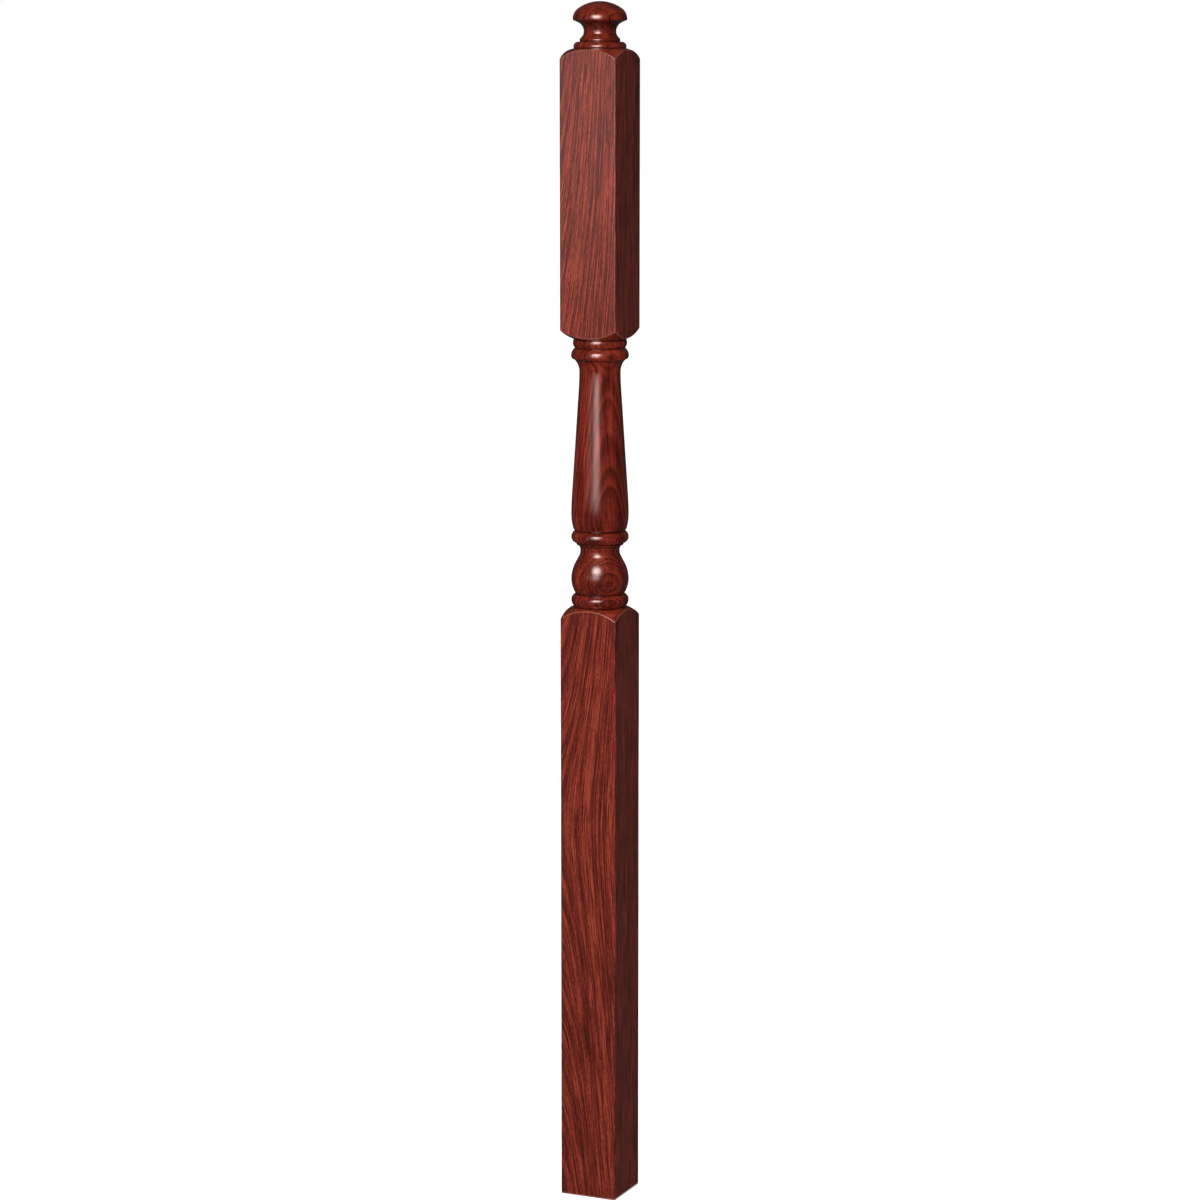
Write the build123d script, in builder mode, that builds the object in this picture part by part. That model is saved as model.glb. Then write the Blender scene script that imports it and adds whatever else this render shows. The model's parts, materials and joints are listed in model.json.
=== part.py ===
"""Landing newel post, turned from one square oak blank.

The post keeps two square blocks: a long lower one that stands on the landing
and a shorter upper one that takes the handrails. A vase and bulb are turned
between them, and a mushroom cap above them. The whole post is one solid.

Frame: +Z up, origin at the centre of the foot, block faces square to X and Y.
Sizes are in millimetres.
"""
import os
from math import sqrt

from build123d import *

# Square blank
post_width = 76.2
arris_radius = 1.5
parting_waste = 10.0

# Lengths along the post, from the foot up. A rise ends where the outline turns
# or where one moulding meets the next.
lower_square = 753.5
lower_shoulder_rise = 14.0
low_bead_below = 8.3
low_bead_above = 8.0
bulb_below = 18.6
bulb_above = 36.3
bulb_neck_cove = 7.0
band_height = 2.7
middle_bead_below = 7.6
middle_bead_above = 8.3
vase_foot_rise = 1.9
vase_below = 18.3
vase_above = 180.5
vase_neck_cove = 15.6
high_bead_below = 4.6
high_bead_above = 10.1
ring_below = 6.2
ring_above = 4.5
upper_shoulder_rise = 12.5
upper_square = 334.5
cap_shoulder_rise = 13.3
collar_below = 1.9
collar_above = 6.2
cap_band_below = 2.2
cap_band_above = 2.1
cap_neck_below = 8.3
cap_neck_above = 11.75
cap_underside_rise = 1.2
cap_lip = 2.35
cap_dome = 21.7

# Depths of cut, measured in from the faces of the blank
bead_cut = 1.75
groove_cut = 6.6
low_groove_cut = 7.3
low_quirk_cut = 5.9
bulb_neck_cut = 13.3
band_seat_cut = 10.8
band_cut = 8.3
band_quirk_cut = 8.9
vase_foot_cut = 4.5
vase_neck_cut = 12.15
vase_cove_cut = 5.8
ring_cut = 4.0
ring_quirk_cut = 5.2
collar_quirk_cut = 5.6
collar_cut = 5.1
collar_top_cut = 11.6
cap_band_foot_cut = 13.3
cap_band_cut = 12.85
cap_band_top_cut = 13.75
cap_neck_cut = 17.95
cap_underside_cut = 9.25
cap_cut = 4.3

# Fullness of the curves: how far a shoulder stands out from its chord, how far
# the upright of a belly or a neck runs on before the taper, and the radius that
# turns the edge of the cap into its crown
lower_shoulder_fullness = 1.7
upper_shoulder_fullness = 0.8
cap_shoulder_fullness = 2.2
band_edge_rise = 0.6
bulb_belly_run = 11.0
bulb_neck_run = 3.9
vase_belly_run = 10.5
vase_neck_run = 9.5
cap_edge_round = 16.0

# Radii that follow from the blank
half_width = post_width / 2
corner_radius = half_width * sqrt(2)
bead_radius = half_width - bead_cut
groove_radius = half_width - groove_cut
low_groove_radius = half_width - low_groove_cut
low_quirk_radius = half_width - low_quirk_cut
bulb_neck_radius = half_width - bulb_neck_cut
band_seat_radius = half_width - band_seat_cut
band_radius = half_width - band_cut
band_quirk_radius = half_width - band_quirk_cut
vase_foot_radius = half_width - vase_foot_cut
vase_neck_radius = half_width - vase_neck_cut
vase_cove_radius = half_width - vase_cove_cut
ring_radius = half_width - ring_cut
ring_quirk_radius = half_width - ring_quirk_cut
collar_quirk_radius = half_width - collar_quirk_cut
collar_radius = half_width - collar_cut
collar_top_radius = half_width - collar_top_cut
cap_band_foot_radius = half_width - cap_band_foot_cut
cap_band_radius = half_width - cap_band_cut
cap_band_top_radius = half_width - cap_band_top_cut
cap_neck_radius = half_width - cap_neck_cut
cap_underside_radius = half_width - cap_underside_cut
cap_radius = half_width - cap_cut

# Heights that follow from the lengths
low_quirk = lower_square + lower_shoulder_rise
low_bead = low_quirk + low_bead_below
low_groove = low_bead + low_bead_above
bulb = low_groove + bulb_below
bulb_neck = bulb + bulb_above
band_seat = bulb_neck + bulb_neck_cove
band_quirk = band_seat + band_height
middle_bead = band_quirk + middle_bead_below
middle_groove = middle_bead + middle_bead_above
vase_foot = middle_groove + vase_foot_rise
vase = vase_foot + vase_below
vase_neck = vase + vase_above
vase_cove = vase_neck + vase_neck_cove
high_bead = vase_cove + high_bead_below
high_groove = high_bead + high_bead_above
ring = high_groove + ring_below
ring_quirk = ring + ring_above
upper_square_foot = ring_quirk + upper_shoulder_rise
upper_square_top = upper_square_foot + upper_square
collar_quirk = upper_square_top + cap_shoulder_rise
collar = collar_quirk + collar_below
collar_top = collar + collar_above
cap_band = collar_top + cap_band_below
cap_band_top = cap_band + cap_band_above
cap_neck = cap_band_top + cap_neck_below
cap_underside = cap_neck + cap_neck_above
cap_lip_foot = cap_underside + cap_underside_rise
cap_edge = cap_lip_foot + cap_lip
post_length = cap_edge + cap_dome


def rounded(radius, height, foot, top):
    """Draw a moulding or a neck: two arcs that leave (radius, height) upright."""
    TangentArc((radius, height), foot, tangent=(0, -1))
    TangentArc((radius, height), top, tangent=(0, 1))


def ogee(belly_radius, belly, belly_run, neck_radius, neck, neck_run):
    """Draw an arc out of a belly, a straight taper and an arc into a neck.

    Each run is the height at which the upright from the belly or the neck would
    meet the taper; the arc rounds that corner off over its whole length.
    """
    belly_corner = Vector(belly_radius, belly + belly_run)
    neck_corner = Vector(neck_radius, neck - neck_run)
    taper = (neck_corner - belly_corner).normalized()
    taper_foot = belly_corner + taper * belly_run
    taper_top = neck_corner - taper * neck_run
    TangentArc((belly_radius, belly), taper_foot, tangent=(0, 1))
    Line(taper_foot, taper_top)
    TangentArc((neck_radius, neck), taper_top, tangent=(0, -1))


def draw_bulb_and_low_bead():
    """From the lower shoulder's quirk up to the neck of the bulb."""
    rounded(
        bead_radius,
        low_bead,
        foot=(low_quirk_radius, low_quirk),
        top=(low_groove_radius, low_groove),
    )
    TangentArc((bead_radius, bulb), (low_groove_radius, low_groove), tangent=(0, -1))
    ogee(bead_radius, bulb, bulb_belly_run, bulb_neck_radius, bulb_neck, bulb_neck_run)


def draw_band_and_middle_bead():
    """The cove over the bulb, the thin band on it and the bead above the band."""
    TangentArc((bulb_neck_radius, bulb_neck), (band_seat_radius, band_seat), tangent=(0, 1))
    Line((band_seat_radius, band_seat), (band_radius, band_seat + band_edge_rise))
    Line((band_radius, band_seat + band_edge_rise), (band_radius, band_quirk - band_edge_rise))
    Line((band_radius, band_quirk - band_edge_rise), (band_quirk_radius, band_quirk))
    rounded(
        bead_radius,
        middle_bead,
        foot=(band_quirk_radius, band_quirk),
        top=(groove_radius, middle_groove),
    )


def draw_vase():
    """The long vase, from its rounded foot to the cove under the high bead."""
    Line((groove_radius, middle_groove), (vase_foot_radius, vase_foot))
    TangentArc((bead_radius, vase), (vase_foot_radius, vase_foot), tangent=(0, -1))
    ogee(bead_radius, vase, vase_belly_run, vase_neck_radius, vase_neck, vase_neck_run)
    TangentArc((vase_neck_radius, vase_neck), (vase_cove_radius, vase_cove), tangent=(0, 1))


def draw_high_bead_and_ring():
    """The bead over the vase and the ring that closes the turning."""
    rounded(
        bead_radius,
        high_bead,
        foot=(vase_cove_radius, vase_cove),
        top=(groove_radius, high_groove),
    )
    TangentArc((ring_radius, ring), (groove_radius, high_groove), tangent=(0, -1))
    Line((ring_radius, ring), (ring_quirk_radius, ring_quirk))


def draw_cap():
    """Collar, band, waisted neck and domed cap, up to the axis."""
    Line((collar_quirk_radius, collar_quirk), (collar_radius, collar))
    TangentArc((collar_radius, collar), (collar_top_radius, collar_top), tangent=(0, 1))
    Line((collar_top_radius, collar_top), (cap_band_foot_radius, collar_top))
    Line((cap_band_foot_radius, collar_top), (cap_band_radius, cap_band))
    Line((cap_band_radius, cap_band), (cap_band_top_radius, cap_band_top))
    rounded(
        cap_neck_radius,
        cap_neck,
        foot=(cap_band_top_radius, cap_band_top),
        top=(cap_underside_radius, cap_underside),
    )
    lip_foot = (cap_radius - cap_lip, cap_lip_foot)
    Line((cap_underside_radius, cap_underside), lip_foot)
    TangentArc((cap_radius, cap_edge), lip_foot, tangent=(0, -1))

    # Two arcs make the dome: a small one up from the edge and a large one over
    # the crown, whose radius is the one that lets the two meet without a corner
    edge_centre = cap_radius - cap_edge_round
    crown_round = (edge_centre**2 + cap_dome**2 - cap_edge_round**2) / (
        2 * (cap_dome - cap_edge_round)
    )
    centre_gap = crown_round - cap_edge_round
    meeting = (
        edge_centre * crown_round / centre_gap,
        cap_edge + (crown_round - cap_dome) * cap_edge_round / centre_gap,
    )
    TangentArc((cap_radius, cap_edge), meeting, tangent=(0, 1))
    TangentArc((0, post_length), meeting, tangent=(1, 0))


with BuildPart() as newel_post:
    # Square blank with its long corners eased, longer than the finished post by
    # the waste that is parted off over the cap
    with BuildSketch() as blank_section:
        Rectangle(post_width, post_width)
        fillet(blank_section.vertices(), radius=arris_radius)
    extrude(amount=post_length + parting_waste)

    # Everything the lathe leaves: half the turned outline, swept round the axis.
    # Beside the square blocks it runs outside the corners, so they stay uncut.
    with BuildSketch(Plane.XZ):
        with BuildLine():
            Polyline((0, post_length), (0, 0), (corner_radius, 0), (corner_radius, lower_square))
            SagittaArc(
                (low_quirk_radius, low_quirk),
                (corner_radius, lower_square),
                lower_shoulder_fullness,
            )
            draw_bulb_and_low_bead()
            draw_band_and_middle_bead()
            draw_vase()
            draw_high_bead_and_ring()
            SagittaArc(
                (corner_radius, upper_square_foot),
                (ring_quirk_radius, ring_quirk),
                upper_shoulder_fullness,
            )
            Line((corner_radius, upper_square_foot), (corner_radius, upper_square_top))
            SagittaArc(
                (collar_quirk_radius, collar_quirk),
                (corner_radius, upper_square_top),
                cap_shoulder_fullness,
            )
            draw_cap()
        make_face()
    revolve(axis=Axis.Z, mode=Mode.INTERSECT)

newel_post.part.label = "newel_post"
os.makedirs("parts", exist_ok=True)
export_step(newel_post.part, "parts/newel_post.step")
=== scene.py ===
"""Looks of a turned landing newel post of stained and lacquered red oak.

Laid out as an add-on: the sizes, colours and lamp settings are properties, and
the post, its finish and the stage are operators. Lengths are in metres, Z is
up, and the origin is at the centre of the post's foot.
"""

import json
from functools import partial
from math import atan, atan2, ceil, cos, exp, hypot, pi, radians, sin, sqrt

import bmesh
import bpy
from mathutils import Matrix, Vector

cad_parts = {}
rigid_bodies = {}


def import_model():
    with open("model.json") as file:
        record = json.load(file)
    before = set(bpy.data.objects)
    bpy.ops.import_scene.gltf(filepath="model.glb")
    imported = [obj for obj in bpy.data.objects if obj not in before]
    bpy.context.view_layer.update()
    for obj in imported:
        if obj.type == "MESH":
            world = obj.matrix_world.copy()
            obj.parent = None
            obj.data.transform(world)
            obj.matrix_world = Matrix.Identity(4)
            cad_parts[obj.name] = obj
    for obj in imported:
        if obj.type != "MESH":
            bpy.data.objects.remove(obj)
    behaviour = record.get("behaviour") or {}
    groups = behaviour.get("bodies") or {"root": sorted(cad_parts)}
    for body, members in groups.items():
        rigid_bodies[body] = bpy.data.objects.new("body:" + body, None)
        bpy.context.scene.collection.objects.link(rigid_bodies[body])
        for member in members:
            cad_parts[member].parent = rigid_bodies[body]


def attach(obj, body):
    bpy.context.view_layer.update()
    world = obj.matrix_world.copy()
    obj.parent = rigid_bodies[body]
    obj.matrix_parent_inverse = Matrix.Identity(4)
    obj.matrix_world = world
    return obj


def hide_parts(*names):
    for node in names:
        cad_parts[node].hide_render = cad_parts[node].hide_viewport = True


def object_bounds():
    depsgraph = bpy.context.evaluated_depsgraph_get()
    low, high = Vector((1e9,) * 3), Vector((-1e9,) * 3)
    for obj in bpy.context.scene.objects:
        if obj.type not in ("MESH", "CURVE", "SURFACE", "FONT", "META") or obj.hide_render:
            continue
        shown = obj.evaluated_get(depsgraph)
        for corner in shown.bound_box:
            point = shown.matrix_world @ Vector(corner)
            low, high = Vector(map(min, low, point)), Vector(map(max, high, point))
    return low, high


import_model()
cad_low, cad_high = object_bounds()

bl_info = {
    "name": "Landing newel post",
    "version": (1, 0, 0),
    "blender": (4, 5, 0),
    "location": "3D View > Sidebar > Newel",
    "description": "A turned landing newel post of stained red oak, with its stage",
    "category": "Object",
}

MM = 0.001

# The turned outline. Each row is how the outline gets to a point, the rise to
# it and the depth of cut there, in millimetres. A swell is an arc that ends
# upright, a fall is an arc that starts upright, and a taper is a straight run
# with an arc at each end; its last two numbers are how far the uprights of the
# belly and the neck run on before it.
LOW_QUIRK_CUT = 5.9
BULB_AND_VASE = (
    ("swell", 8.3, 1.75),  # low bead
    ("fall", 8.0, 7.3),
    ("swell", 18.6, 1.75),  # bulb
    ("taper", 36.3, 13.3, 11.0, 3.9),
    ("fall", 7.0, 10.8),
    ("line", 0.6, 8.3),  # thin band
    ("line", 1.5, 8.3),
    ("line", 0.6, 8.9),
    ("swell", 7.6, 1.75),  # middle bead
    ("fall", 8.3, 6.6),
    ("line", 1.9, 4.5),
    ("swell", 18.3, 1.75),  # vase
    ("taper", 180.5, 12.15, 10.5, 9.5),
    ("fall", 15.6, 5.8),
    ("swell", 4.6, 1.75),  # high bead
    ("fall", 10.1, 6.6),
    ("swell", 6.2, 4.0),  # ring
    ("fall", 4.5, 5.2),
)
COLLAR_QUIRK_CUT = 5.6
CAP = (
    ("line", 1.9, 5.1),  # collar
    ("fall", 6.2, 11.6),
    ("line", 0.0, 13.3),
    ("swell", 2.2, 12.85),  # band
    ("fall", 2.1, 13.75),
    ("swell", 8.3, 17.95),  # neck
    ("fall", 11.75, 9.25),
    ("line", 1.2, 6.65),
    ("swell", 2.35, 4.3),  # edge of the cap
)
# Rise of each shoulder from the square corner to its quirk, and how far its arc
# stands out from the chord, in millimetres
LOWER_SHOULDER = (14.0, 1.7)
UPPER_SHOULDER = (12.5, 0.8)
CAP_SHOULDER = (13.3, 2.2)

# Divisions of the mesh: of each eased corner, of each side of a block, of each
# turned ring, which meets a block vertex for vertex, across a shoulder, of its
# eased edge, along the straight of a taper, and the most that an arc turns in one
ARRIS_STEPS = 4
SIDE_CUTS = 31
RING_STEPS = 4 * (SIDE_CUTS + ARRIS_STEPS + 1)
SHOULDER_CUTS = 3
EASE_STEPS = 3
TAPER_STEPS = 24
ARC_TURN = radians(7)

# Heights, and distances from the axis, that differ by less than this are one
SAME_HEIGHT = 0.01 * MM
SAME_RADIUS = 0.02 * MM

# Angle between faces from which the mesh has an edge that is eased, and from
# which it is shaded as sharp
EASED_ANGLE = radians(25)
SHARP_ANGLE = radians(28)

# Dark stain in the grooves, which also paints in their shade, and a weaker painted
# shadow under the cap: how far each spreads, from the grooves' floors and from
# under the cap, in millimetres. A groove's floor is where the outline turns in
# by more than the angle of this sine.
GROOVE_STAIN_AND_SHADE_SPREAD = 1.3
UNDER_CAP_SHADOW_SPREAD = 8.5
UNDER_CAP_SHADOW_STRENGTH = 0.85
FLOOR_SINE = 0.4

# The pith of the tree, in millimetres. It stands to the left of the post and
# behind it, and bows along a hyperbola: farthest back at BOW_HEIGHT, rounded
# over BOW_LENGTH, and coming forward by BOW_SLOPE above and below that.
PITH_LEFT = 58.0
PITH_BEHIND = 95.0
BOW_HEIGHT = 480.0
BOW_LENGTH = 90.0
BOW_SLOPE = 0.075

# Good and poor years: how quickly they follow each other across the rings, in
# waves per millimetre, and by how many rings they shift them
YEAR_WAVES = 0.09
YEAR_SHIFT = 3.0

# How much the lines of grain draw in with the taper of the turned work, as a
# share of their distance from the axis for each millimetre of height
GRAIN_DRAW = 0.0016

# What lies within this depth of the blank's sides, in millimetres, is a flat face
FACE_DEPTH = 0.5

# End grain as near the axis as this, in millimetres, is the cap's, and as far out
# as this it is a shoulder's. Faces there that look up are lifted least and most,
# partly for thinner stain and partly as painted light from above.
END_GRAIN_CAP = 30.0
END_GRAIN_SHOULDER = 36.0

# Radius of the drape round the stage, in metres, and how far round from the
# front the middle of the pale card on it is
DRAPE_RADIUS = 6.5
CARD_AZIMUTH = radians(-24)

# Glow of the drape in the gloss, and how much brighter the card is at most
DRAPE_GLOW = 0.03
CARD_GLOW = 0.95

# Grey of the floor under the lamps, and the glow that lifts it to white
FLOOR_GREY = 0.8
FLOOR_GLOW = 0.9

# How far in from its edges a lamp's glow rises, as a share of its side, and the
# glow at its middle, which is above 1 to make up for the light that this costs
LAMP_FADE = 0.45
LAMP_GLOW = 2.2


def linear(hex_colour):
    """Linear colour of an sRGB hex value such as #9A3D2C."""
    channels = [int(hex_colour[i : i + 2], 16) / 255 for i in (1, 3, 5)]
    return [c / 12.92 if c <= 0.04045 else ((c + 0.055) / 1.055) ** 2.4 for c in channels] + [1]


class NewelSizes(bpy.types.PropertyGroup):
    """Sizes of the post that can be changed apart from its mouldings."""

    post_width: bpy.props.FloatProperty(
        name="Post width",
        description="Side of the square blank",
        default=cad_high.x - cad_low.x,
        unit="LENGTH",
    )
    post_length: bpy.props.FloatProperty(
        name="Post length",
        description="Foot to the top of the cap",
        default=cad_high.z - cad_low.z,
        unit="LENGTH",
    )
    lower_block: bpy.props.FloatProperty(
        name="Lower block",
        description="Foot to the corners of the lower block",
        default=753.5 * MM,
        unit="LENGTH",
    )
    upper_block: bpy.props.FloatProperty(
        name="Upper block",
        description="Length of the upper block at its corners",
        default=334.5 * MM,
        unit="LENGTH",
    )
    cap_edge_round: bpy.props.FloatProperty(
        name="Cap edge",
        description="Radius that turns the edge of the cap into its crown",
        default=16 * MM,
        unit="LENGTH",
    )
    arris_radius: bpy.props.FloatProperty(
        name="Arris radius",
        description="Radius of the long eased corners of the blocks",
        default=1.6 * MM,
        unit="LENGTH",
    )
    shoulder_ease: bpy.props.FloatProperty(
        name="Shoulder ease",
        description="Width sanded off the curved edges of the shoulders",
        default=1.15 * MM,
        unit="LENGTH",
    )


class NewelFinish(bpy.types.PropertyGroup):
    """Colours and scales of the stained oak."""

    late_wood: bpy.props.FloatVectorProperty(
        name="Late wood",
        description="Stained colour of the dense wood between the pores",
        default=linear("#9C3D28"),
        size=4,
        min=0,
        max=1,
        subtype="COLOR",
    )
    middle_wood: bpy.props.FloatVectorProperty(
        name="Middle wood",
        description="Stained colour midway through a growth ring",
        default=linear("#7C2618"),
        size=4,
        min=0,
        max=1,
        subtype="COLOR",
    )
    early_wood: bpy.props.FloatVectorProperty(
        name="Early wood",
        description="Stained colour of the porous spring wood",
        default=linear("#601A0E"),
        size=4,
        min=0,
        max=1,
        subtype="COLOR",
    )
    pore: bpy.props.FloatVectorProperty(
        name="Pore",
        description="Stain gathered in the open pores",
        default=linear("#430E07"),
        size=4,
        min=0,
        max=1,
        subtype="COLOR",
    )
    # Dark stain in the grooves, which also paints in their shade and the shadow under the cap
    groove_stain_and_shade: bpy.props.FloatVectorProperty(
        name="Groove",
        description="Stain gathered in the grooves of the mouldings",
        default=linear("#1E0503"),
        size=4,
        min=0,
        max=1,
        subtype="COLOR",
    )
    # Pale colour of a painted glint along the eased edges of the shoulders
    painted_edge_glint: bpy.props.FloatVectorProperty(
        name="Worn edge",
        description="Wood that shows where sanding has thinned the stain",
        default=linear("#BD8474"),
        size=4,
        min=0,
        max=1,
        subtype="COLOR",
    )
    ring_width: bpy.props.FloatProperty(
        name="Ring width",
        description="Growth of one year",
        default=4.2 * MM,
        unit="LENGTH",
    )


class NewelStage(bpy.types.PropertyGroup):
    """Camera and lamps."""

    azimuth: bpy.props.FloatProperty(
        name="Camera azimuth",
        description="How far the camera stands round from the front",
        default=radians(24.179),
        subtype="ANGLE",
    )
    pitch: bpy.props.FloatProperty(
        name="Camera pitch",
        description="How far the camera looks down",
        default=radians(9.001),
        subtype="ANGLE",
    )
    distance: bpy.props.FloatProperty(
        name="Camera distance",
        description="Level distance from the post's axis",
        default=4.5835,
        unit="LENGTH",
    )
    height: bpy.props.FloatProperty(
        name="Camera height", description="Above the floor", default=1.5007, unit="LENGTH"
    )
    lens: bpy.props.FloatProperty(
        name="Lens", description="Focal length in millimetres", default=109.83
    )
    key_power: bpy.props.FloatProperty(
        name="Key lamp", description="Power of the soft key lamp in watts", default=134.0
    )
    fill_power: bpy.props.FloatProperty(
        name="Front lamp", description="Power of the weak front lamp in watts", default=27.0
    )
    back_power: bpy.props.FloatProperty(
        name="Back lamp", description="Power of the level lamp behind the post", default=55.0
    )
    world_level: bpy.props.FloatProperty(
        name="Room light", description="Strength of the even light from all round", default=0.27
    )


# Outline


def arc(start, end, way):
    """Points along the arc that leaves start in the direction way, end included."""
    chord = end - start
    bend = atan2(way.cross(chord), way.dot(chord))
    steps = max(2, ceil(abs(2 * bend) / ARC_TURN))
    left = Vector((-way.y, way.x))
    radius = chord.length / (2 * sin(bend))
    turns = [2 * bend * step / steps for step in range(1, steps)]
    return [start + way * radius * sin(t) + left * radius * (1 - cos(t)) for t in turns] + [end]


def swell(start, end):
    """Points along the arc that ends upright at end."""
    back = arc(end, start, Vector((0, -1)))
    return back[-2::-1] + [end]


def fall(start, end):
    """Points along the arc that starts upright at start."""
    return arc(start, end, Vector((0, 1)))


def taper(start, end, belly_run, neck_run):
    """Points along an arc out of a belly, a straight taper and an arc into a neck."""
    belly_corner = start + Vector((0, belly_run))
    neck_corner = end - Vector((0, neck_run))
    way = (neck_corner - belly_corner).normalized()
    foot = belly_corner + way * belly_run
    top = neck_corner - way * neck_run
    straight = [foot.lerp(top, step / TAPER_STEPS) for step in range(1, TAPER_STEPS + 1)]
    return fall(start, foot) + straight + swell(top, end)


def outline(start, rows, half_width):
    """Points (radius, height) of the turned outline, from start on."""
    points = [start]
    for kind, rise, cut, *runs in rows:
        here = points[-1]
        there = Vector((half_width - cut * MM, here.y + rise * MM))
        if kind == "line":
            points.append(there)
        elif kind == "taper":
            points += taper(here, there, *(run * MM for run in runs))
        else:
            points += {"swell": swell, "fall": fall}[kind](here, there)
    return points


def dome(edge, top, edge_round):
    """Points over the cap: a small arc up from its edge and a large one to the axis."""
    rise = top - edge.y
    side = edge.x - edge_round
    crown = (side**2 + rise**2 - edge_round**2) / (2 * (rise - edge_round))
    gap = crown - edge_round
    meeting = Vector((side * crown / gap, edge.y + (crown - rise) * edge_round / gap))
    over = arc(Vector((0, top)), meeting, Vector((1, 0)))
    return fall(edge, meeting) + over[-2::-1] + [Vector((0, top))]


def shoulder_arc(quirk, corner, fullness, side):
    """Points from a quirk out to the square's corner, run on a little at both ends.

    side is 1 where the shoulder faces up and -1 where it faces down.
    """
    chord = corner - quirk
    bend = side * 2 * atan(2 * fullness / chord.length)
    way = chord.normalized()
    left = Vector((-way.y, way.x))
    start_way = way * cos(bend) + left * sin(bend)
    end_way = way * cos(bend) - left * sin(bend)
    points = [quirk] + arc(quirk, corner, start_way)
    return [quirk - start_way * MM] + points + [corner + end_way * MM]


def profile(sizes):
    """The turned outlines of the vase and the cap, and the shoulders beside them.

    A shoulder is its quirk and its corner (radius, height), how far its arc
    stands out, and 1 where it faces up or -1 where it faces down.
    """
    half = sizes.post_width / 2
    corner = half * sqrt(2)
    lower_corner = Vector((corner, sizes.lower_block))
    low_quirk = Vector((half - LOW_QUIRK_CUT * MM, lower_corner.y + LOWER_SHOULDER[0] * MM))
    vase = outline(low_quirk, BULB_AND_VASE, half)
    ring_quirk = vase[-1]
    upper_corner = Vector((corner, ring_quirk.y + UPPER_SHOULDER[0] * MM))
    top_corner = Vector((corner, upper_corner.y + sizes.upper_block))
    collar_quirk = Vector((half - COLLAR_QUIRK_CUT * MM, top_corner.y + CAP_SHOULDER[0] * MM))
    cap = outline(collar_quirk, CAP, half)
    cap += dome(cap[-1], sizes.post_length, sizes.cap_edge_round)
    shoulders = (
        (low_quirk, lower_corner, LOWER_SHOULDER[1] * MM, 1),
        (ring_quirk, upper_corner, UPPER_SHOULDER[1] * MM, -1),
        (collar_quirk, top_corner, CAP_SHOULDER[1] * MM, 1),
    )
    return vase, cap, shoulders


# Modelling by hand


def choose(test):
    """Select, in edit mode, the vertices whose place passes the test."""
    bpy.ops.mesh.select_mode(type="VERT")
    bpy.ops.mesh.select_all(action="DESELECT")
    shape = bmesh.from_edit_mesh(bpy.context.edit_object.data)
    for vertex in shape.verts:
        vertex.select = test(vertex.co)
    shape.select_flush(True)
    bmesh.update_edit_mesh(bpy.context.edit_object.data)


def turn(points):
    """Carry the selected ring along the points (radius, height) of an outline."""
    for here, there in zip(points, points[1:]):
        bpy.ops.mesh.extrude_region_move(
            TRANSFORM_OT_translate={"value": (0, 0, there.y - here.y)}
        )
        scale = there.x / here.x
        bpy.ops.transform.resize(value=(scale, scale, 1), center_override=(0, 0, there.y))


def add_turning(points, segments):
    """Add a ring at the first point and carry it along the outline."""
    bpy.ops.mesh.select_all(action="DESELECT")
    bpy.ops.mesh.primitive_circle_add(
        vertices=segments, radius=points[0].x, location=(0, 0, points[0].y)
    )
    turn(points)


def add_block(width, arris, foot, top):
    """Add the four walls of a square block with eased corners."""
    bpy.ops.mesh.select_all(action="DESELECT")
    bpy.ops.mesh.primitive_plane_add(size=width, location=(0, 0, foot))
    bpy.ops.mesh.delete(type="ONLY_FACE")
    choose(lambda place: abs(place.z - foot) < MM and hypot(place.x, place.y) > 0.5 * width)
    bpy.ops.mesh.bevel(offset=arris, segments=ARRIS_STEPS, affect="VERTICES")
    shape = bmesh.from_edit_mesh(bpy.context.edit_object.data)
    bpy.ops.mesh.select_mode(type="EDGE")
    bpy.ops.mesh.select_all(action="DESELECT")
    for edge in shape.edges:
        level = all(abs(vertex.co.z - foot) < MM for vertex in edge.verts)
        edge.select = level and edge.calc_length() > 0.5 * width
    bpy.ops.mesh.subdivide(number_cuts=SIDE_CUTS)
    choose(lambda place: abs(place.z - foot) < MM and hypot(place.x, place.y) >= 0.499 * width)
    bpy.ops.mesh.extrude_region_move(TRANSFORM_OT_translate={"value": (0, 0, top - foot)})


def bridge(quirk, corner):
    """Join a block's open end, at its corner's height, to the turned ring at a quirk."""
    choose(
        lambda place: (
            abs(place.z - corner.y) < SAME_HEIGHT and hypot(place.x, place.y) > quirk.x + MM
        )
        or (
            abs(place.z - quirk.y) < SAME_HEIGHT
            and abs(hypot(place.x, place.y) - quirk.x) < SAME_RADIUS
        )
    )
    bpy.ops.mesh.bridge_edge_loops(number_cuts=SHOULDER_CUTS, interpolation="LINEAR")


def add_guide(shoulders):
    """Make the shoulders as turned surfaces, to lay the rows of the post on."""
    bpy.ops.object.select_all(action="DESELECT")
    bpy.ops.mesh.primitive_circle_add()
    guide = bpy.context.object
    bpy.ops.object.mode_set(mode="EDIT")
    bpy.ops.mesh.delete(type="VERT")
    for shoulder in shoulders:
        add_turning(shoulder_arc(*shoulder), 2 * RING_STEPS)
    bpy.ops.object.mode_set(mode="OBJECT")
    return guide


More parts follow.
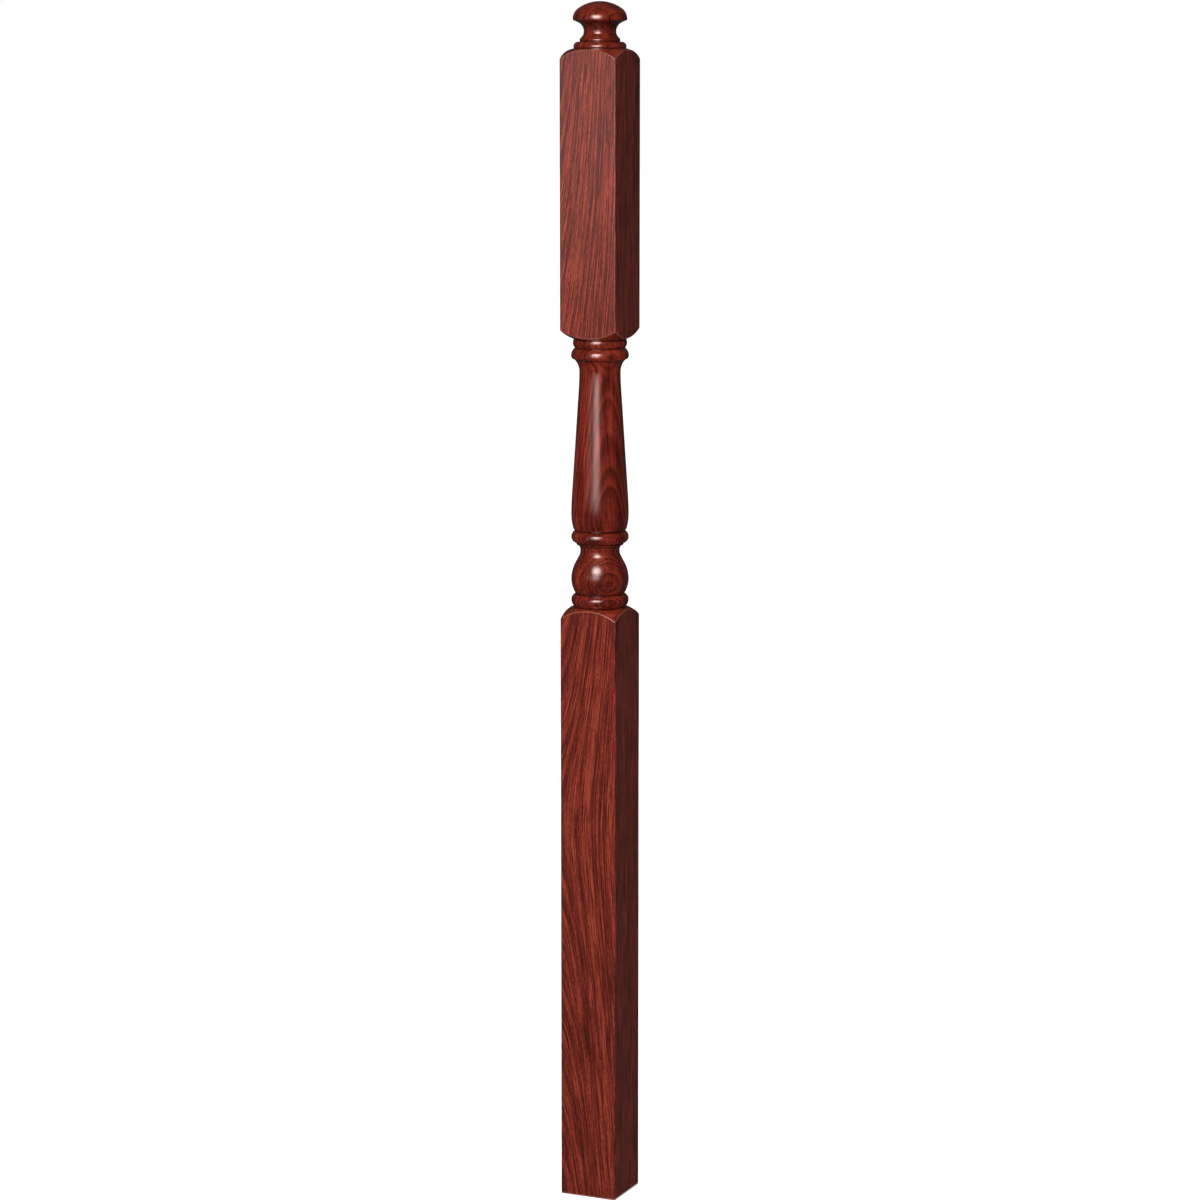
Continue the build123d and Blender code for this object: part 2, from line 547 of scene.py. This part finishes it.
def add_post(sizes, vase, cap, shoulders):
    """Model the blocks and the turned lengths, joined by rows across each shoulder."""
    lower_corner, upper_corner, top_corner = (corner for quirk, corner, *_ in shoulders)
    bpy.ops.object.select_all(action="DESELECT")
    bpy.ops.mesh.primitive_plane_add(size=sizes.post_width)
    post = bpy.context.object
    post.name = post.data.name = "newel_post_body"
    bpy.ops.object.mode_set(mode="EDIT")
    bpy.ops.mesh.delete(type="VERT")
    add_block(sizes.post_width, sizes.arris_radius, 0, lower_corner.y)
    add_block(sizes.post_width, sizes.arris_radius, upper_corner.y, top_corner.y)
    add_turning(vase, RING_STEPS)
    # The last ring of the cap closes to a point, a hair below the CAD model's top
    add_turning(cap[:-1], RING_STEPS)
    last_rise = cap[-1].y - cap[-2].y - 0.005 * MM
    bpy.ops.mesh.extrude_region_move(TRANSFORM_OT_translate={"value": (0, 0, last_rise)})
    bpy.ops.mesh.merge(type="CENTER")
    for quirk, corner, *_ in shoulders:
        bridge(quirk, corner)
    choose(lambda place: abs(place.z) < SAME_HEIGHT)
    bpy.ops.mesh.edge_face_add()
    bpy.ops.object.mode_set(mode="OBJECT")
    return post


def lay_rows(post, guide, half, turned_points, shoulders):
    """Lay the rows of the shoulders, and the ends of the blocks, on the guide."""

    def on_turning(place):
        outside = hypot(place.x, place.y)
        return any(
            abs(point.y - place.z) < SAME_HEIGHT and abs(point.x - outside) < SAME_RADIUS
            for point in turned_points
        )

    def on_a_shoulder(place):
        outside = hypot(place.x, place.y)
        return any(
            min(quirk.y, corner.y) - SAME_HEIGHT < place.z < max(quirk.y, corner.y) + SAME_HEIGHT
            and quirk.x + 0.05 * MM < outside < corner.x
            for quirk, corner, *_ in shoulders
        ) and (outside > half - 0.1 * MM or not on_turning(place))

    rows = post.vertex_groups.new(name="shoulder_rows")
    bpy.ops.object.mode_set(mode="EDIT")
    choose(on_a_shoulder)
    bpy.ops.object.vertex_group_assign()
    bpy.ops.object.mode_set(mode="OBJECT")
    lay = post.modifiers.new("lay_on_guide", "SHRINKWRAP")
    lay.target = guide
    lay.vertex_group = rows.name
    lay.wrap_method = "PROJECT"
    lay.use_project_z = True
    lay.use_negative_direction = True
    lay.use_positive_direction = True
    bpy.ops.object.modifier_apply(modifier=lay.name)
    bpy.data.objects.remove(guide)


def ease_shoulders(post, half, width):
    """Round the curved edges of the shoulders over, and mark them for a pale painted glint."""
    bpy.ops.object.mode_set(mode="EDIT")
    bpy.ops.mesh.remove_doubles(threshold=0.005 * MM)
    bpy.ops.mesh.select_all(action="SELECT")
    bpy.ops.mesh.normals_make_consistent(inside=False)
    bpy.ops.mesh.select_mode(type="EDGE")
    bpy.ops.mesh.select_all(action="DESELECT")
    bpy.ops.mesh.edges_select_sharp(sharpness=EASED_ANGLE)
    shape = bmesh.from_edit_mesh(post.data)
    for edge in shape.edges:
        far = all(hypot(v.co.x, v.co.y) > half - 0.05 * MM for v in edge.verts)
        high = all(v.co.z > MM for v in edge.verts)
        edge.select = edge.select and far and high
    bmesh.update_edit_mesh(post.data)
    bpy.ops.mesh.bevel(offset=width, segments=EASE_STEPS, affect="EDGES")
    bpy.ops.mesh.select_less()
    eased = post.vertex_groups.new(name="eased_edges")
    post.vertex_groups.active = eased
    bpy.ops.object.vertex_group_assign()
    bpy.ops.object.mode_set(mode="OBJECT")
    # The eased edges get a pale painted glint in the colour
    values = [float(any(g.group == eased.index for g in v.groups)) for v in post.data.vertices]
    painted_glint = post.data.attributes.new("painted_glint", "FLOAT", "POINT")
    painted_glint.data.foreach_set("value", values)


def smooth(post, half):
    """Smooth the round work and keep the faces of the blocks flat."""
    bpy.ops.object.shade_smooth_by_angle(angle=SHARP_ANGLE)
    square = post.vertex_groups.new(name="square_work")
    outer = [v.index for v in post.data.vertices if hypot(v.co.x, v.co.y) > half - MM]
    square.add(outer, 1.0, "REPLACE")
    flat = post.modifiers.new("flat_faces", "WEIGHTED_NORMAL")
    flat.vertex_group = square.name
    flat.keep_sharp = True
    bpy.ops.object.modifier_apply(modifier=flat.name)
    post.vertex_groups.clear()


def mark_groove_stain_and_shade(post, vase, cap):
    """Store, from 0 to 1, how deep in a groove each vertex lies, for dark stain that also paints
    in the grooves' shade, and how near it lies under the cap, for a painted shadow there.
    """
    floors = [vase[0], vase[-1], cap[0]]
    for points in (vase, cap):
        for before, here, after in zip(points, points[1:], points[2:]):
            turned_in = (here - before).normalized().cross((after - here).normalized())
            if turned_in < -FLOOR_SINE:
                floors.append(here)
    # Painted shadow under the cap, spread more widely than the grooves' stain and shade
    edge = max(range(len(cap)), key=lambda i: cap[i].x)
    neck = min(cap[:edge], key=lambda point: point.x)
    under = (neck + cap[edge]) / 2
    values = []
    for vertex in post.data.vertices:
        place = Vector((hypot(vertex.co.x, vertex.co.y), vertex.co.z))
        near = min((place - floor).length for floor in floors)
        # Stain and painted shade in the grooves, and a weaker painted shadow under the cap
        inside = exp(-((near / MM / GROOVE_STAIN_AND_SHADE_SPREAD) ** 2))
        under_cap_shadow = exp(-(((place - under).length / MM / UNDER_CAP_SHADOW_SPREAD) ** 2))
        values.append(max(inside, UNDER_CAP_SHADOW_STRENGTH * under_cap_shadow))
    groove_stain_and_shade = post.data.attributes.new("groove_stain_and_shade", "FLOAT", "POINT")
    groove_stain_and_shade.data.foreach_set("value", values)


class OBJECT_OT_newel_post(bpy.types.Operator):
    """Model the post: two square blocks, the turned bulb and vase, and the cap."""

    bl_idname = "object.newel_post"
    bl_label = "Newel post"

    def execute(self, context):
        sizes = context.scene.newel_sizes
        half = sizes.post_width / 2
        vase, cap, shoulders = profile(sizes)
        guide = add_guide(shoulders)
        post = add_post(sizes, vase, cap, shoulders)
        lay_rows(post, guide, half, vase + cap, shoulders)
        ease_shoulders(post, half, sizes.shoulder_ease)
        smooth(post, half)
        mark_groove_stain_and_shade(post, vase, cap)
        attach(post, "root")
        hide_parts("newel_post")
        return {"FINISHED"}


# Finish


def put(tree, kind, *inputs, out=0, stops=(), **settings):
    """Add a node with its settings and links, and return one of its outputs.

    An input is a value or another node's output. Inputs come in the order of
    the node's sockets, or as one dictionary of sockets. Stops (place, colour or
    grey) fill a colour ramp, and out=None returns all outputs.
    """
    made = tree.nodes.new("ShaderNode" + kind)
    for name, value in settings.items():
        setattr(made, name, value)
    sockets = inputs[0] if inputs and isinstance(inputs[0], dict) else dict(enumerate(inputs))
    for socket, value in sockets.items():
        if isinstance(value, bpy.types.NodeSocket):
            tree.links.new(value, made.inputs[socket])
        else:
            made.inputs[socket].default_value = value
    for extra in stops[2:]:
        made.color_ramp.elements.new(0.5)
    for index, (place, colour) in enumerate(stops):
        point = made.color_ramp.elements[index]
        point.position = place
        point.color = (colour, colour, colour, 1) if isinstance(colour, float) else colour
    return made.outputs if out is None else made.outputs[out]


def node_adder(owner):
    """Clear the owner's nodes, and return the function that adds new ones to it."""
    owner.use_nodes = True
    owner.node_tree.nodes.clear()
    return partial(put, owner.node_tree)


def stained_red_oak(finish, half_width):
    """Red oak, flat sawn, with a mahogany stain under a semi-gloss lacquer.

    Growth rings run along the post round a pith that lies outside it and bows
    along it, so they lean on the front and run straight on the side. The stain
    gathers in the open pores of the spring wood: they read as fine dark streaks.
    """
    oak = bpy.data.materials.new("stained_lacquered_red_oak")
    add = node_adder(oak)

    # Millimetres, swayed as grown timber is: slowly over the post's width, and
    # a little within each ring. Noise is scaled in waves per millimetre.
    raw = add("VectorMath", add("TexCoord", out="Object"), (1000,) * 3, operation="MULTIPLY")
    place = raw
    for waves, detail, roughness, reach in (
        ((1 / 60, 1 / 60, 1 / 300), 1, 0.4, (8, 5, 0)),
        ((1 / 9, 1 / 9, 1 / 80), 2, 0.5, (0.9, 0.9, 0)),
    ):
        at = add("VectorMath", raw, waves, operation="MULTIPLY")
        sway = {"Vector": at, "Scale": 1, "Detail": detail, "Roughness": roughness}
        sway = add("TexNoise", sway, out="Color")
        sway = add("VectorMath", sway, (0.5, 0.5, 0.5), operation="SUBTRACT")
        place = add("VectorMath", sway, reach, place, operation="MULTIPLY_ADD")
    plain = add("SeparateXYZ", raw, out=None)
    grown = add("SeparateXYZ", place, out=None)
    apart = add("SeparateXYZ", add("VectorMath", raw, operation="ABSOLUTE"), out=None)

    # Distance from the pith
    up = add("Math", grown["Z"], BOW_HEIGHT, operation="SUBTRACT")
    bow = add("Math", up, up, BOW_LENGTH**2, operation="MULTIPLY_ADD")
    bow = add("Math", bow, operation="SQRT")
    deep = add("Math", bow, BOW_SLOPE, -PITH_BEHIND, operation="MULTIPLY_ADD")
    deep = add("Math", grown["Y"], deep, operation="ADD")
    wide = add("Math", grown["X"], PITH_LEFT, operation="ADD")
    growth = add("Math", deep, deep, operation="MULTIPLY")
    growth = add("Math", wide, wide, growth, operation="MULTIPLY_ADD")
    growth = add("Math", growth, operation="SQRT")

    # Lean of the rings on the front
    lean = add("Math", up, bow, operation="DIVIDE")
    lean = add("Math", lean, -BOW_SLOPE, operation="MULTIPLY")
    lean = add("Math", lean, deep, operation="MULTIPLY")
    lean = add("Math", lean, wide, operation="DIVIDE")

    # Rings: years of unlike growth, some with much porous wood and some with little
    years = add("Math", growth, YEAR_WAVES, operation="MULTIPLY")
    years = add("TexNoise", {"W": years, "Scale": 1, "Detail": 1}, noise_dimensions="1D")
    phase = add("Math", growth, finish.ring_width / MM, operation="DIVIDE")
    phase = add("Math", years, YEAR_SHIFT, phase, operation="MULTIPLY_ADD")
    ring = add("Math", phase, operation="FRACT")
    year = add("Math", phase, ring, operation="SUBTRACT")
    heavy = add("TexWhiteNoise", {"W": year}, noise_dimensions="1D")
    heavy = add("Math", heavy, 0.5, 0.5, operation="MULTIPLY_ADD")
    early = ((0.0, 0.6), (0.1, 1.0), (0.35, 0.8), (0.6, 0.3), (0.9, 0.0), (1.0, 0.6))
    early = add("ValToRGB", ring, stops=early)
    early = add("Math", early, heavy, operation="MULTIPLY")

    # Where the flat faces are, in front and behind and at the sides, and the
    # turned work between them
    flat_from = half_width - FACE_DEPTH
    flat = add("Math", apart["X"], apart["Y"], operation="MAXIMUM")
    flat = add("Math", flat, flat_from, operation="GREATER_THAN")
    front = add("Math", apart["Y"], flat_from, operation="GREATER_THAN")
    sides = add("Math", apart["X"], flat_from, operation="GREATER_THAN")
    turned = add("Math", 1.0, flat, operation="SUBTRACT")

    # The lines of grain sway and lean on the front and the back, and draw in
    # with the taper on the turned work
    swayed = add("Math", grown["X"], plain["X"], operation="SUBTRACT")
    swayed = add("Math", swayed, front, plain["X"], operation="MULTIPLY_ADD")
    shear = add("Math", lean, front, operation="MULTIPLY")
    draw = add("Math", turned, -GRAIN_DRAW, operation="MULTIPLY")

    def lines(across, along, slab, detail, stops):
        """Lines of grain, 0 dark to 1 light, in waves per millimetre.

        They are made in slabs of the post's length, each straightened, and two
        sets of slabs fade into each other without losing contrast.
        """
        shown = []
        for shift in (0.0, 0.5):
            count = add("Math", plain["Z"], 1 / slab, shift, operation="MULTIPLY_ADD")
            part = add("Math", count, operation="FRACT")
            cell = add("Math", count, part, operation="SUBTRACT")
            off = add("Math", part, -slab, slab / 2, operation="MULTIPLY_ADD")
            side = add("Math", draw, plain["X"], shear, operation="MULTIPLY_ADD")
            side = add("Math", side, off, swayed, operation="MULTIPLY_ADD")
            depth = add("Math", draw, plain["Y"], operation="MULTIPLY")
            depth = add("Math", depth, off, plain["Y"], operation="MULTIPLY_ADD")
            depth = add("Math", cell, 37.1 + 11 * shift, depth, operation="MULTIPLY_ADD")
            spot = add("CombineXYZ", side, depth, plain["Z"])
            spot = add("VectorMath", spot, (across, across, along), operation="MULTIPLY")
            spot = {"Vector": spot, "Scale": 1, "Detail": detail, "Roughness": 0.6}
            shown.append(add("Math", add("TexNoise", spot), 0.5, operation="SUBTRACT"))
        fade = add("Math", part, 2.0, -1.0, operation="MULTIPLY_ADD")
        fade = add("Math", fade, operation="ABSOLUTE")
        rest = add("Math", 1.0, fade, operation="SUBTRACT")
        power = add("Math", rest, rest, operation="MULTIPLY")
        power = add("Math", fade, fade, power, operation="MULTIPLY_ADD")
        power = add("Math", power, operation="SQRT")
        mixed = add("Math", shown[0], shown[1], operation="SUBTRACT")
        mixed = add("Math", mixed, fade, shown[1], operation="MULTIPLY_ADD")
        mixed = add("Math", mixed, power, operation="DIVIDE")
        return add("ValToRGB", add("Math", mixed, 0.5, operation="ADD"), stops=stops)

    # Pores and rays. Real pores are a third of a millimetre wide; these are as
    # wide as need be to show.
    hairs = lines(1.5, 0.013, 70.0, 1, ((0.38, 0.0), (0.49, 0.6), (0.53, 0.75), (0.62, 1.0)))
    strands = lines(0.3, 0.006, 130.0, 2, ((0.36, 0.0), (0.64, 1.0)))
    spots = []
    for where, waves, detail in ((raw, (1.3, 1.3, 0.22), 1), (place, (0.07, 0.07, 0.006), 2)):
        at = add("VectorMath", where, waves, operation="MULTIPLY")
        spot = add("TexNoise", {"Vector": at, "Scale": 1, "Detail": detail, "Roughness": 0.5})
        spots.append(add("ValToRGB", spot, stops=((0.3, 0.0), (0.7, 1.0))))
    flecks, patches = spots

    # Depth of stain, 0 dark to 1 light: an even ground, a little darker on turned
    # work, then each pattern with its middle value, and how strongly it shows on
    # front and back, on the sides and on turned work
    tone = add("Math", turned, -0.05, 0.59, operation="MULTIPLY_ADD")
    for pattern, middle, on_front, on_sides, on_turned in (
        (hairs, 0.6, 1.3, 2.08, 0.52),
        (flecks, 0.5, 0.6, 0.6, 0.24),
        (strands, 0.5, 0.15, 0.55, 0.15),
        (patches, 0.5, 0.08, 0.08, 0.58),
        (early, 0.0, -0.8, -0.8, -0.608),
    ):
        shows = add("Math", turned, on_turned - on_front, on_front, operation="MULTIPLY_ADD")
        shows = add("Math", sides, on_sides - on_front, shows, operation="MULTIPLY_ADD")
        off = add("Math", pattern, middle, operation="SUBTRACT")
        tone = add("Math", off, shows, tone, operation="MULTIPLY_ADD")

    # Faces that look up are lighter, by the square of their normal's height:
    # partly sanded end grain taking the stain thinner and partly painted light
    # from above, more on the shoulders than on the cap, which lies nearer the axis
    round_out = add("Math", apart["X"], apart["X"], operation="MULTIPLY")
    round_out = add("Math", apart["Y"], apart["Y"], round_out, operation="MULTIPLY_ADD")
    round_out = add("Math", round_out, operation="SQRT")
    end_grain_and_top_light_strength = add("MapRange", round_out, END_GRAIN_CAP, END_GRAIN_SHOULDER, 0.24, 0.44)
    end_grain_and_top_light = add("SeparateXYZ", add("TexCoord", out="Normal"), out="Z")
    end_grain_and_top_light = add("Math", end_grain_and_top_light, 0.0, operation="MAXIMUM")
    end_grain_and_top_light = add("Math", end_grain_and_top_light, end_grain_and_top_light, operation="MULTIPLY")
    tone = add("Math", end_grain_and_top_light, end_grain_and_top_light_strength, tone, operation="MULTIPLY_ADD")

    # Colour at each depth. Then a dark stain gathers in the grooves, also standing in
    # for their shade, with a painted shadow under the cap, and a pale painted glint
    # lies along the eased edges of the shoulders.
    depths = (finish.pore, finish.early_wood, finish.middle_wood, finish.late_wood)
    colour = add("ValToRGB", tone, stops=tuple(zip((0.0, 0.3, 0.58, 1.0), depths)))
    # Dark stain with painted shade in the grooves and painted shadow under the cap, then the
    # pale painted glint on the eased edges
    for name, strength, shade in (
        ("groove_stain_and_shade", 0.85, finish.groove_stain_and_shade),
        ("painted_glint", 0.3, finish.painted_edge_glint),
    ):
        share = add("Attribute", attribute_name=name, out="Fac")
        share = add("Math", share, strength, operation="MULTIPLY")
        colour = add("Mix", {0: share, 6: colour, 7: shade}, data_type="RGBA", out=2)

    # Lacquer: it bridges most of each pore, so the streaks show in the gloss as
    # faint dips, least where the turned work was rubbed down, and the wood
    # under it has deeper ones. The flat faces shine less than the turned work.
    pores = add("ValToRGB", hairs, stops=((0.0, 1.0), (0.45, 0.0)))
    dips = {"Height": pores, "Distance": 0.15 * MM}
    film_dips = add("Math", flat, 0.09, 0.03, operation="MULTIPLY_ADD")
    under = add("Bump", dips | {"Strength": 0.35}, invert=True)
    film = add("Bump", dips | {"Strength": film_dips}, invert=True)
    surface = add(
        "BsdfPrincipled",
        {
            "Base Color": colour,
            "Roughness": add("Math", flat, 0.25, 0.27, operation="MULTIPLY_ADD"),
            "IOR": 1.5,
            "Specular Tint": linear("#FFA090"),
            "Normal": under,
            "Coat Weight": 1.0,
            "Coat Roughness": 0.15,
            "Coat IOR": 1.55,
            "Coat Normal": film,
        },
    )
    add("OutputMaterial", surface, out=None)
    return oak


class OBJECT_OT_newel_finish(bpy.types.Operator):
    """Stain and lacquer the post."""

    bl_idname = "object.newel_finish"
    bl_label = "Stained oak finish"

    def execute(self, context):
        post = bpy.data.objects["newel_post_body"]
        half_width = context.scene.newel_sizes.post_width / 2 / MM
        post.data.materials.clear()
        post.data.materials.append(stained_red_oak(context.scene.newel_finish, half_width))
        return {"FINISHED"}


# Stage


def sees_background(add):
    """1 for rays that look straight at the background, in a mirror or through glass."""
    path = add("LightPath", out=None)
    seen = add("Math", path["Is Camera Ray"], path["Is Glossy Ray"], operation="MAXIMUM")
    return add("Math", seen, path["Is Transmission Ray"], operation="MAXIMUM")


def add_floor():
    """Add a pale floor that looks white and still takes the post's shadow."""
    bpy.ops.object.select_all(action="DESELECT")
    bpy.ops.mesh.primitive_plane_add(size=60, location=(0, 0, 0))
    floor = bpy.context.object
    floor.name = "floor"
    paper = bpy.data.materials.new("pale_paper")
    add = node_adder(paper)
    lift = add("Math", sees_background(add), FLOOR_GLOW, operation="MULTIPLY")
    lift = add("Emission", (1, 1, 1, 1), lift)
    matt = add("BsdfDiffuse", (FLOOR_GREY, FLOOR_GREY, FLOOR_GREY, 1))
    add("OutputMaterial", add("AddShader", matt, lift), out=None)
    floor.data.materials.append(paper)
    return floor


def drape_cloth():
    """Dark cloth with a pale card pinned to it, both seen only in the gloss.

    The card stands to the left, where the wide faces mirror it, and fades out
    downwards: the gloss greys the upper block and leaves the lower one dark.
    """
    cloth = bpy.data.materials.new("dark_drape_cloth_with_pale_card")
    add = node_adder(cloth)
    # Cosine of the angle from the card's middle, and the height in metres
    at = add("TexCoord", out="Object")
    to_card = Vector((sin(CARD_AZIMUTH), -cos(CARD_AZIMUTH), 0)) / DRAPE_RADIUS
    across = add("VectorMath", at, to_card, operation="DOT_PRODUCT", out="Value")
    across = add("MapRange", across, 0.93, 0.985, interpolation_type="SMOOTHSTEP")
    upward = add("MapRange", add("SeparateXYZ", at, out="Z"), 0.3, 1.4)
    glow = add("Math", across, upward, operation="MULTIPLY")
    glow = add("Math", glow, CARD_GLOW, DRAPE_GLOW, operation="MULTIPLY_ADD")
    add("OutputMaterial", add("Emission", (1, 1, 1, 1), glow), out=None)
    return cloth


def add_drape():
    """Add a dark drape all round, seen only in the gloss.

    Black flags are set round polished dark wood in the same way, to keep its
    faces from greying.
    """
    bpy.ops.object.select_all(action="DESELECT")
    bpy.ops.mesh.primitive_uv_sphere_add(segments=48, ring_count=24, radius=DRAPE_RADIUS)
    drape = bpy.context.object
    drape.name = "dark_drape"
    bpy.ops.object.mode_set(mode="EDIT")
    bpy.ops.mesh.select_all(action="SELECT")
    bpy.ops.mesh.bisect(
        plane_co=(0, 0, 2 * MM), plane_no=(0, 0, 1), clear_inner=True, use_fill=True
    )
    bpy.ops.mesh.flip_normals()
    bpy.ops.object.mode_set(mode="OBJECT")
    drape.data.materials.append(drape_cloth())
    for ray in ("camera", "diffuse", "transmission", "volume_scatter", "shadow"):
        setattr(drape, "visible_" + ray, False)
    return drape


def light_room(scene, level):
    """Light the scene evenly from all round, with a background that shows white."""
    scene.world = bpy.data.worlds.new("studio")
    add = node_adder(scene.world)
    even = add("Background", (1, 1, 1, 1), level)
    white = add("Background", (1, 1, 1, 1), 1.0)
    add("OutputWorld", add("MixShader", sees_background(add), even, white), out=None)


def add_lamp(name, power, size, azimuth, elevation, distance, target):
    """Add a soft-edged lamp that looks at the target height on the post's axis."""
    back = Vector(
        (sin(azimuth) * cos(elevation), -cos(azimuth) * cos(elevation), sin(elevation))
    )
    bpy.ops.object.light_add(type="AREA", location=Vector((0, 0, target)) + back * distance)
    lamp = bpy.context.object
    lamp.name = name
    lamp.rotation_euler = back.to_track_quat("Z", "Y").to_euler()
    lamp.data.energy = power
    lamp.data.shape = "RECTANGLE"
    lamp.data.size, lamp.data.size_y = size
    add = node_adder(lamp.data)
    spread = add("SeparateXYZ", add("NewGeometry", out="Parametric"), out=None)
    glow = LAMP_GLOW
    for axis in "XY":
        edge = add("Math", spread[axis], 0.5, operation="PINGPONG")
        soft = add("MapRange", edge, 0.0, LAMP_FADE, interpolation_type="SMOOTHSTEP")
        glow = add("Math", soft, glow, operation="MULTIPLY")
    add("OutputLight", add("Emission", (1, 1, 1, 1), glow), out=None)
    return lamp


def add_camera(stage):
    """Add the camera at the photograph's viewing angle and return it."""
    place = (
        stage.distance * sin(stage.azimuth),
        -stage.distance * cos(stage.azimuth),
        stage.height,
    )
    bpy.ops.object.camera_add(
        location=place, rotation=(pi / 2 - stage.pitch, 0, stage.azimuth)
    )
    camera = bpy.context.object
    camera.name = "camera"
    camera.data.sensor_width = 36
    camera.data.lens = stage.lens
    camera.data.clip_start = 0.1
    camera.data.clip_end = 200
    return camera


class OBJECT_OT_newel_stage(bpy.types.Operator):
    """Make the floor, the drape, the room light, the lamps and the camera."""

    bl_idname = "object.newel_stage"
    bl_label = "Stage"

    def execute(self, context):
        stage = context.scene.newel_stage
        add_floor()
        add_drape()
        light_room(context.scene, stage.world_level)

        # Each lamp: power, size, degrees round from the camera and up, distance,
        # and the height that it looks at
        for name, power, size, round_by, up_by, distance, target in (
            ("key_lamp", stage.key_power, (3.0, 2.1), -16, 22, 3.24, 1.28),
            ("front_lamp", stage.fill_power, (2.6, 1.8), -17, 0, 3.2, 1.3),
            ("back_lamp", stage.back_power, (2.6, 1.8), 188, 0, 3.2, 1.0),
        ):
            azimuth = stage.azimuth + radians(round_by)
            lamp = add_lamp(name, power, size, azimuth, radians(up_by), distance, target)
            lamp.visible_glossy = name != "back_lamp"

        context.scene.camera = add_camera(stage)
        context.scene.view_settings.view_transform = "Standard"
        return {"FINISHED"}


class VIEW3D_PT_newel(bpy.types.Panel):
    """Sizes, colours and operators of the landing newel post."""

    bl_label = "Landing newel post"
    bl_space_type = "VIEW_3D"
    bl_region_type = "UI"
    bl_category = "Newel"

    def draw(self, context):
        for group in (
            context.scene.newel_sizes,
            context.scene.newel_finish,
            context.scene.newel_stage,
        ):
            for name in group.__annotations__:
                self.layout.prop(group, name)
        for operator in OPERATORS:
            self.layout.operator(operator.bl_idname)


OPERATORS = (OBJECT_OT_newel_post, OBJECT_OT_newel_finish, OBJECT_OT_newel_stage)
CLASSES = (NewelSizes, NewelFinish, NewelStage) + OPERATORS + (VIEW3D_PT_newel,)


def register():
    """Add the classes and the settings of the scene."""
    for item in CLASSES:
        bpy.utils.register_class(item)
    bpy.types.Scene.newel_sizes = bpy.props.PointerProperty(type=NewelSizes)
    bpy.types.Scene.newel_finish = bpy.props.PointerProperty(type=NewelFinish)
    bpy.types.Scene.newel_stage = bpy.props.PointerProperty(type=NewelStage)


def unregister():
    """Take the settings and the classes away."""
    del bpy.types.Scene.newel_sizes
    del bpy.types.Scene.newel_finish
    del bpy.types.Scene.newel_stage
    for item in reversed(CLASSES):
        bpy.utils.unregister_class(item)


def main():
    """Make the post and its stage."""
    register()
    bpy.ops.object.newel_post()
    bpy.ops.object.newel_finish()
    bpy.ops.object.newel_stage()


if __name__ == "__main__":
    main()
